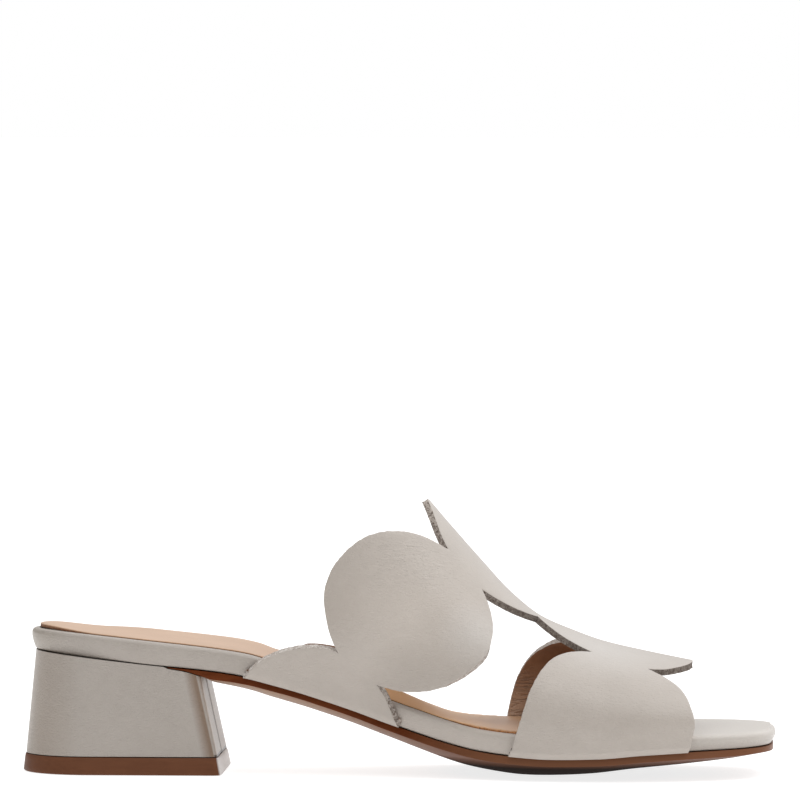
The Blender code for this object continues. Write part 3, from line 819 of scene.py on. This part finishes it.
def upper_outline():
    loop = joined_outline(disc_outlines(EDGE_STEP))
    wave = uneven(len(loop), 3, 5) * 0.6 + uneven(len(loop), 14, 6) * 0.4
    at_base = np.abs(np.abs(loop[:, 1]) - SPREAD) < 0.5
    loop = loop + outward(loop) * (wave * EDGE_NOISE * ~at_base)[:, None]
    loop[:, 1] = np.clip(loop[:, 1], -SPREAD, SPREAD)
    return loop


def cut_slant(loop):
    """Lean of the knife round the upper's outline."""
    x, laid = loop[:, 0], loop[:, 1]
    waist = ease((-laid - 63) / 5) * ease((127 - x) / 4) * ease((x - 70) / 6)
    waist = waist * (WAIST_SLANT + (FRONT_SLANT - WAIST_SLANT) * ease((x - 110) / 8))
    waist = waist * ease((outward(loop)[:, 1] + 0.1) / 0.4)
    side = ease((-laid - 34) / 12) * ease((x - 136) / 10) * ease((158 - x) / 2)
    middle = ease((30 + laid) / 4) * ease(-laid / 3) * ease(-outward(loop)[:, 1] / 0.25)
    return np.maximum(waist, np.maximum(SIDE_SLANT * side, MIDDLE_SLANT * middle))


def upper_face(points, depth):
    """Points at a depth below the upper's outer face."""
    x, laid = points[:, 0], points[:, 1]
    return last_face(x, laid) - last_normal(x, laid) * np.reshape(depth, (-1, 1))


def build_upper():
    loop = upper_outline()
    grain = grain_leather("stone_leather", creases=neck_creases, shade=upper_shade)
    edge = raw_edge("cut_edge")
    lining = lining_leather("brown_lining")
    slant = cut_slant(loop)[:, None] * outward(loop)
    slant[:, 1] *= np.abs(loop[:, 1]) < SPREAD - 0.01
    rim_count = len(loop)

    def at_depth(depth):
        rim = loop + slant * depth
        rim[:, 1] = np.clip(rim[:, 1], -SPREAD, SPREAD)
        return rim

    def layer(rim, spacing, with_inset):
        grid = lattice(rim.min(0), rim.max(0), spacing)
        grid = grid[inside_loop(grid, rim)]
        grid = grid[distance_to(grid, rim) > max(spacing * 0.6, 0.5)]
        inner = np.vstack((rim - outward(rim) * FIRST_ROW, grid)) if with_inset else grid
        return fill_loop(rim, inner)

    leather_back = LEATHER - LINING
    solid = Solid()
    points, triangles = layer(loop, LEATHER_MESH, True)
    lowered = np.zeros(len(points))
    lowered[:rim_count] = EDGE_BEVEL
    outer = solid.add(upper_face(points, lowered))
    solid.fill(triangles, outer, 0)
    loops = [outer[:rim_count]]
    for part in (0.25, 0.5, 0.75):
        depth = EDGE_BEVEL + (leather_back - EDGE_BEVEL) * part
        loops.append(solid.add(upper_face(at_depth(depth), depth)))
    points, triangles = layer(at_depth(leather_back), HIDDEN_MESH, False)
    back = solid.add(upper_face(points, leather_back))
    solid.fill(triangles, back, 1, flip=True)
    solid.bridge(loops + [back[:rim_count]], 1)
    solid.make("upper_leather", "upper", [grain, edge])

    solid = Solid()
    front = solid.add(upper_face(points, leather_back))
    solid.fill(triangles, front, 1)
    points, triangles = layer(at_depth(LEATHER), LINING_MESH, True)
    depth = np.full(len(points), LEATHER)
    depth[:rim_count] -= EDGE_BEVEL
    inner = solid.add(upper_face(points, depth))
    solid.fill(triangles, inner, 0, flip=True)
    solid.bridge([front[:rim_count], inner[:rim_count]], 1)
    solid.make("upper_lining", None, [lining, edge])


# ------------------------------ footbed, sock and sole

PLAN_STEP = 1.0           # spacing of points round a plan
FINE_STEP = 0.5           # and while it is softened, in this many passes
FOOTBED_FAIRING, SOCK_FAIRING, SOLE_FAIRING = 40, 60, 10
SLAB_MESH = 2.0           # spacing of points over the faces of the sock and the sole
TOP_MESH = 1.6            # and over the visible top of the footbed
SOLE_ROUND = 0.12         # sharp lower edge of the sole
WRAP_LEAN = 0.9           # the wrapped side leans in this far towards its foot
HEEL_CURL = 1.0           # the sock lifts off at the back of the heel
BALL_LIFT = 0.45          # and stands up again, with a ragged edge, before the ball
SOCK_LIFT = 0.35          # its cut edge stands out of the recess


def plan_outline():
    """Smooth closed plan of the footbed, counter-clockwise from above."""
    middle, half = LENGTH / 2, LENGTH / 2
    stations = middle - half * np.cos(np.linspace(0, math.pi, 400))
    loop = np.vstack((
        np.stack((stations, inner_edge(stations)), -1),
        np.stack((stations, outer_edge(stations)), -1)[::-1],
    ))
    loop = soften(resample(loop, FINE_STEP), FOOTBED_FAIRING)
    return resample(counter_clockwise(loop), PLAN_STEP)


def inset_plan(plan, inset):
    return plan - outward(plan) * inset


def clipped(plan, passes, start=-np.inf, stop=np.inf):
    """A plan cut straight across at a first or last station, with softened corners."""
    plan = np.column_stack((np.clip(plan[:, 0], start, stop), plan[:, 1]))
    keep = np.linalg.norm(plan - np.roll(plan, 1, axis=0), axis=1) > 1e-6
    return resample(soften(resample(plan[keep], FINE_STEP), passes), PLAN_STEP)


def slab(name, node, plan, profile, top, under, finishes):
    """A plate over a plan. Each profile row is an inset, a share of the height (0 under,
    1 top), a height in millimetres added to it, and the finish of the band above it."""
    solid = Solid()
    loops = [inset_plan(plan, row[0]) for row in profile]
    low = solid.spread(loops[0], SLAB_MESH, under, profile[0][2], profile[0][3], flip=True)
    high = solid.spread(loops[-1], SLAB_MESH, top, profile[-1][2], profile[-1][3])
    previous = low[:len(plan)]
    for loop, (_, share, lift, finish) in zip(loops[1:-1], profile[1:-1]):
        ring = solid.lay(loop, lambda x, y: under(x, y) + (top(x, y) - under(x, y)) * share, lift)
        solid.bridge([previous, ring], finish)
        previous = ring
    solid.bridge([previous, high[:len(plan)]], profile[-1][3])
    solid.make(name, node, finishes)


def rounded(radius, share, count, inset=0.0):
    """Profile rows of a quarter round at the top (share 1) or the bottom (share 0)."""
    rows = []
    for step in range(count + 1):
        angle = math.pi / 2 * step / count
        drawn_in, lift = 1 - math.sin(angle), 1 - math.cos(angle)
        if share:
            drawn_in, lift = lift, -drawn_in
        rows.append((inset + radius * drawn_in, share, radius * lift))
    return rows


def sock_plan(plan, margin=0.0):
    """Outline of the sock, or of the recess round it."""
    outline = clipped(inset_plan(plan, SOCK_INSET), SOCK_FAIRING, stop=SOCK_FRONT)
    return inset_plan(outline, -margin)


def ring_sheet(outer, inner, spacing):
    """Points and triangles between two closed outlines."""
    grid = lattice(outer.min(0), outer.max(0), spacing)
    grid = grid[inside_loop(grid, outer) & ~inside_loop(grid, inner)]
    grid = grid[distance_to(grid, np.vstack((outer, inner))) > spacing * 0.55]
    points, triangles = fill_loop(outer, np.vstack((inner, grid)))
    middles = points[np.array(triangles)].mean(1)
    keep = ~inside_loop(middles, inner)
    return points, [triangle for triangle, kept in zip(triangles, keep) if kept]


def build_footbed(plan):
    leather = grain_leather("wrap_leather", tone=0.88, shade=wrap_shade)
    profile = rounded(1.0, 0, 5, inset=WRAP_LEAN) + [(0.35, 0.35, 0), (0, 0.6, 0)] + rounded(RIM_RADIUS, 1, 8)
    solid = Solid()
    low = solid.spread(inset_plan(plan, profile[0][0]), HIDDEN_MESH, footbed_under, flip=True)
    rim = inset_plan(plan, RIM_RADIUS)
    recess = sock_plan(plan, CLEARANCE)
    top_points, top_faces = ring_sheet(rim, recess, TOP_MESH)
    high = solid.lay(top_points, footbed_top)
    solid.fill(top_faces, high, 0)
    rings = [low[:len(plan)]]
    for inset, share, lift in profile[1:-1]:
        rings.append(solid.lay(inset_plan(plan, inset),
                               lambda x, y: footbed_under(x, y) + board_thickness(x) * share, lift))
    solid.bridge(rings + [high[:len(plan)]], 0)
    floor = solid.spread(recess, HIDDEN_MESH, footbed_top, -SOCK_RECESS)
    solid.bridge([high[len(plan):len(plan) + len(recess)], floor[:len(recess)]], 0)
    solid.make("footbed_wrap", "footbed", [leather])


def build_sock(plan):
    def under(x, y):
        lift = HEEL_CURL * (1 - ease((x - 4) / 20))
        ragged = 0.75 + 0.25 * np.sin(1.9 * x) * np.sin(0.7 * x + 1)
        lift = lift + BALL_LIFT * ease((x - 138) / 12) * (1 - ease((x - 176) / 10)) * ragged
        return footbed_top(x, y) - SOCK_RECESS + CLEARANCE + SOCK_LIFT + lift

    def top(x, y):
        return under(x, y) + SOCK_THICKNESS

    profile = [(0.1, 0, 0, 1), (0, 0.15, 0, 1), (0, 0.7, 0, 1), (0.08, 0.9, 0, 0), (0.35, 1, 0, 0)]
    slab("sock", "sock", sock_plan(plan), profile, top, under,
         [sock_leather("sock_leather"), sock_cut("sock_edge")])


def build_outsole(plan):
    def top(x, y):
        return footbed_under(x, y) - CLEARANCE

    outline = clipped(inset_plan(plan, SOLE_INSET), SOLE_FAIRING, start=SOLE_BACK)
    profile = [(*row, 0) for row in rounded(SOLE_ROUND, 0, 5) + rounded(0.2, 1, 2)]
    profile[0] = (*profile[0][:3], 1)
    slab("outsole_unit", "outsole", outline, profile, top, sole_under,
         [sole_edge_finish(), sole_tread_finish()])


# ------------------------------ heel

SEAM_SIDE = -1.0          # seam down the middle of the heel's breast
SEAM_STEP = 0.35          # one edge of its cover stands proud of the other there
RING_COUNTS = (40, 20, 12, 40)          # steps round the back, a side, a corner and the breast
OVAL_LENGTH = 0.92        # length of the oval at the back, as a share of the half width
HEEL_LEVELS = 30
HEEL_SHARP = 50           # degrees; smaller bends of the cover are shaded smooth
PIECE_MESH = 4.0          # spacing of points over the top piece's ends
# Levels of the top piece: height, and how far its rounded edge is drawn in.
PIECE_LEVELS = ((0.0, 0.3), (0.15, 0.08), (0.5, 0), (1.5, 0), (3.0, 0), (4.5, 0), (5.5, 0.08),
                (PIECE_HEIGHT, 0.3))


def plan_ring(back, half_width, breast, corner, skew):
    """Plan of the heel, counter-clockwise: half an oval at the back, then a flat breast."""
    arc, sides, corners, front = RING_COUNTS
    length = half_width * OVAL_LENGTH
    angles = math.pi / 2 + math.pi * np.arange(arc + 1) / arc
    ring = [(back + length + length * math.cos(a), half_width * math.sin(a)) for a in angles]
    start, end, flat = back + length, breast - corner, half_width - corner
    side = [(start + (end - start) * i / sides, half_width) for i in range(1, sides)]
    side += [(end + corner * math.sin(a), flat + corner * math.cos(a))
             for a in math.pi / 2 * np.arange(corners + 1) / corners]
    ring += [(x, -y) for x, y in side]
    ring += [(breast, -flat + 2 * flat * i / front) for i in range(1, front)]
    ring = np.array(ring + side[::-1])
    forward = np.clip((ring[:, 0] - start) / (breast - start), 0, 1)
    ring[:, 0] -= skew * forward * ring[:, 1] / half_width
    return ring


def row_at(rows, height):
    """Heel sizes at a height, between the rows of a table."""
    heights = [row[0] for row in rows]
    return [np.interp(height, heights, [row[i] for row in rows]) for i in range(1, len(rows[0]))]


def heel_top(x, y):
    """Height of the heel's top: up to the footbed, or to the tongue of the sole."""
    seat = footbed_under(np.maximum(x, 0.0), y) - CLEARANCE
    tongue = sole_under(np.maximum(x, SOLE_BACK), y) - CLEARANCE
    return np.where(x > SOLE_BACK - CLEARANCE, np.minimum(seat, tongue), seat)


def heel_plan(height):
    """Plan of the heel's cover at a height, with the step of its seam."""
    sizes = row_at(HEEL_ROWS, height)
    breast, corner = sizes[2:4]
    ring = plan_ring(*sizes)
    proud = ease((ring[:, 1] - SEAM_SIDE + 0.5) / 1.0) * np.clip((ring[:, 0] - breast) / corner + 1, 0, 1)
    ring[:, 0] += SEAM_STEP * proud
    return ring


def build_heel():
    leather = grain_leather("heel_leather", tone=0.84, shade=heel_shade)
    bottom = HEEL_ROWS[0][0]
    count = len(heel_plan(bottom))
    tops = np.full(count, 38.0)         # a first guess, evened out below
    for _ in range(4):
        places = np.array([heel_plan(tops[i])[i] for i in range(count)])
        tops = heel_top(places[:, 0], places[:, 1])
    solid = Solid()
    loops = []
    for level in range(HEEL_LEVELS + 1):
        heights = bottom + (tops - bottom) * (level / HEEL_LEVELS)
        places = np.array([heel_plan(heights[i])[i] for i in range(count)])
        loops.append(solid.add(np.column_stack((places, heights))))
    solid.bridge(loops, 0)
    solid.cap(loops[0], HIDDEN_MESH, flip=True)
    solid.cap(loops[-1], HIDDEN_MESH, height=heel_top)
    solid.make("heel_cover", "heel", [leather], HEEL_SHARP)


def build_top_piece():
    rubber = top_piece_finish()
    solid = Solid()
    loops = []
    for height, inset in PIECE_LEVELS:
        ring = inset_plan(plan_ring(*row_at(PIECE_ROWS, height)), inset)
        loops.append(solid.add(np.column_stack((ring, np.full(len(ring), height)))))
    solid.bridge(loops, 0)
    solid.cap(loops[0], PIECE_MESH, flip=True)
    solid.cap(loops[-1], PIECE_MESH)
    solid.make("top_lift", "top_piece", [rubber])


# ------------------------------ studio

AZIMUTH, PITCH = 3.2, 2.262             # degrees
DISTANCE = 3000.0
AIM = (122.95, 0.0, 123.50)
LENS = 406.05
SHOE_CENTRE = (124, 0, 40)
TOP_LIGHT_PLACE = (0.5, -0.35, 1.2)     # metres from the shoe's centre
TOP_LIGHT_SIZE = (1.2, 1.0)
TOP_LIGHT_POWER = 5
FLOOR_GREY, FLOOR_GLOW = 0.45, 0.80


def hang(name, data, place, direction):
    """Puts a camera or a light at a place, facing a direction."""
    holder = bpy.data.objects.new(name, data)
    holder.location = place
    holder.rotation_mode = "QUATERNION"
    holder.rotation_quaternion = direction.to_track_quat("-Z", "Y")
    bpy.context.scene.collection.objects.link(holder)
    return holder


def build_camera():
    camera = bpy.data.cameras.new("camera")
    camera.lens, camera.sensor_width = LENS, 36.0
    camera.clip_start, camera.clip_end = 0.1, 60.0
    turn, tilt = math.radians(AZIMUTH), math.radians(PITCH)
    forward = Vector((-math.sin(turn) * math.cos(tilt), math.cos(turn) * math.cos(tilt), -math.sin(tilt)))
    place = Vector(to_frame(AIM)) - forward * DISTANCE * MM
    bpy.context.scene.camera = hang("camera", camera, place, forward)


def build_top_light():
    light = bpy.data.lights.new("top_softbox", "AREA")
    light.shape = "RECTANGLE"
    light.size, light.size_y = TOP_LIGHT_SIZE
    light.energy = TOP_LIGHT_POWER
    centre = Vector(to_frame(SHOE_CENTRE))
    place = centre + Vector(TOP_LIGHT_PLACE)
    hang("top_softbox", light, place, centre - place).visible_camera = False


def build_floor():
    bm = bmesh.new()
    bmesh.ops.create_grid(bm, x_segments=8, y_segments=8, size=20.0)
    mesh = bpy.data.meshes.new("floor")
    bm.to_mesh(mesh)
    bm.free()
    floor = bpy.data.objects.new("floor", mesh)
    floor.location.z = -0.0002
    bpy.context.scene.collection.objects.link(floor)
    f = Finish("pale_floor")
    mesh.materials.append(f.set(Base_Color=(FLOOR_GREY, FLOOR_GREY, FLOOR_GREY, 1), Roughness=0.8,
                                Specular_IOR_Level=0.1, Emission_Color=(1, 1, 1, 1),
                                Emission_Strength=FLOOR_GLOW))


def build_sky():
    """Soft light from all round: strongest overhead, bright behind the shoe, dim in front."""
    world = bpy.data.worlds.new("studio")
    bpy.context.scene.world = world
    world.use_nodes = True
    sky = Nodes(world.node_tree)
    where = sky.add("ShaderNodeTexCoord", output="Generated")

    def span(axis, low, high, start, end):
        place = sky.add("ShaderNodeSeparateXYZ", {}, {0: where}, output=axis)
        return sky.add("ShaderNodeMapRange", {"interpolation_type": "SMOOTHSTEP"}, {
            "Value": place, "From Min": low, "From Max": high, "To Min": start, "To Max": end})

    behind = span("Y", -0.5, 0.5, 0.30, 0.95)
    above = span("Z", 0.1, 0.9, 0.0, 0.85)
    side = span("X", -0.8, 0.6, 0.25, 1.05)
    seen = sky.add("ShaderNodeLightPath", output="Is Camera Ray")
    strength = sky.add("ShaderNodeMath", {"operation": "MAXIMUM"}, {0: behind * side + above, 1: seen})
    background = world.node_tree.nodes["Background"]
    sky.feed(background.inputs["Color"], (1, 1, 1, 1))
    sky.feed(background.inputs["Strength"], strength)


def build_studio():
    build_floor()
    build_sky()
    build_top_light()
    bpy.context.scene.view_settings.view_transform = "Standard"


build_studio()
build_camera()
build_upper()
footbed_plan = plan_outline()
build_footbed(footbed_plan)
build_sock(footbed_plan)
build_outsole(footbed_plan)
build_heel()
build_top_piece()
